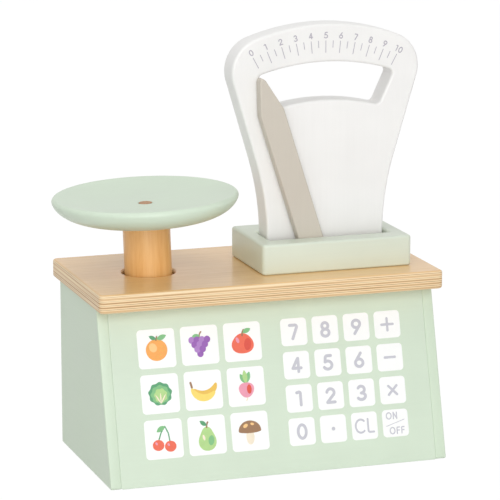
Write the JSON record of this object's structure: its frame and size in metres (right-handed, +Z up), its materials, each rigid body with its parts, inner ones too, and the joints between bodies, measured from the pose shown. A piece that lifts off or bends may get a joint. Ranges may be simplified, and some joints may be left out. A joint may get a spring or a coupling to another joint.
{
  "type": "toy kitchen scale",
  "caption": "Wooden toy kitchen scale: slanted box with printed keys, plywood top, sprung round pan that swings a pointer before a fan-shaped dial",
  "frame": {"origin": "centre of the underside that the scale stands on", "axes": "+Z up, the slanted front with the keys faces -Y, +X to the right seen from the front"},
  "size_m": [0.243, 0.132, 0.279],
  "materials": {
    "mint_paint": "satin mint paint on wood",
    "white_paint": "satin white paint on wood",
    "beige_paint": "satin greige paint on wood",
    "lacquered_plywood": "gloss clear lacquer",
    "pine": "clear satin lacquer",
    "beech": "bare, sanded",
    "plug_wood": "bare end grain",
    "zinc_steel": "zinc plated",
    "bright_steel": "bright drawn",
    "nylon": "moulded, matt"
  },
  "bodies": {
    "housing": {"left_side_panel": "mint_paint", "right_side_panel": "mint_paint", "front_panel": "mint_paint", "back_panel": "mint_paint", "dial_block": "mint_paint", "dial_plate": "white_paint", "top_board": "lacquered_plywood", "base_board": "beech", "left_top_batten": "beech", "right_top_batten": "beech", "left_base_batten": "beech", "right_base_batten": "beech", "front_bearer": "beech", "rear_bearer": "beech", "spring_pillar": "beech", "top_screw_1": "zinc_steel", "top_screw_2": "zinc_steel", "top_screw_3": "zinc_steel", "top_screw_4": "zinc_steel", "base_screw_1": "zinc_steel", "base_screw_2": "zinc_steel", "base_screw_3": "zinc_steel", "base_screw_4": "zinc_steel", "block_screw_1": "zinc_steel", "block_screw_2": "zinc_steel", "block_screw_3": "zinc_steel", "block_screw_4": "zinc_steel", "dial_screw_1": "zinc_steel", "dial_screw_2": "zinc_steel", "front_bearer_screw_1": "zinc_steel", "front_bearer_screw_2": "zinc_steel", "rear_bearer_screw_1": "zinc_steel", "rear_bearer_screw_2": "zinc_steel", "pillar_screw": "zinc_steel", "return_spring": "bright_steel"},
    "weighing_pan": {"pan": "mint_paint", "pan_plug": "plug_wood", "pan_screw": "zinc_steel", "post": "pine", "drive_bar": "beech", "bar_screw": "zinc_steel"},
    "pointer_arm": {"pointer": "beige_paint", "pointer_axle": "bright_steel", "crank_arm": "nylon", "crank_pin": "bright_steel"}
  },
  "joints": [
    {"name": "pan_slide", "type": "slide", "parent": "housing", "child": "weighing_pan", "axis": [0, 0, 1], "range_m": [-0.0117, 0], "stiffness_N_per_m": 150, "springref_m": 0.03, "deforming": ["return_spring"]},
    {"name": "pointer_swing", "type": "hinge", "parent": "housing", "child": "pointer_arm", "pos_m": [0.05, -0.005, 0.101], "axis": [0, 1, 0], "range_deg": [0, 35.4]}
  ],
  "couplings": [
    {"joint": "pointer_swing", "follows": "pan_slide", "rad_per_m": -52.8}
  ]
}
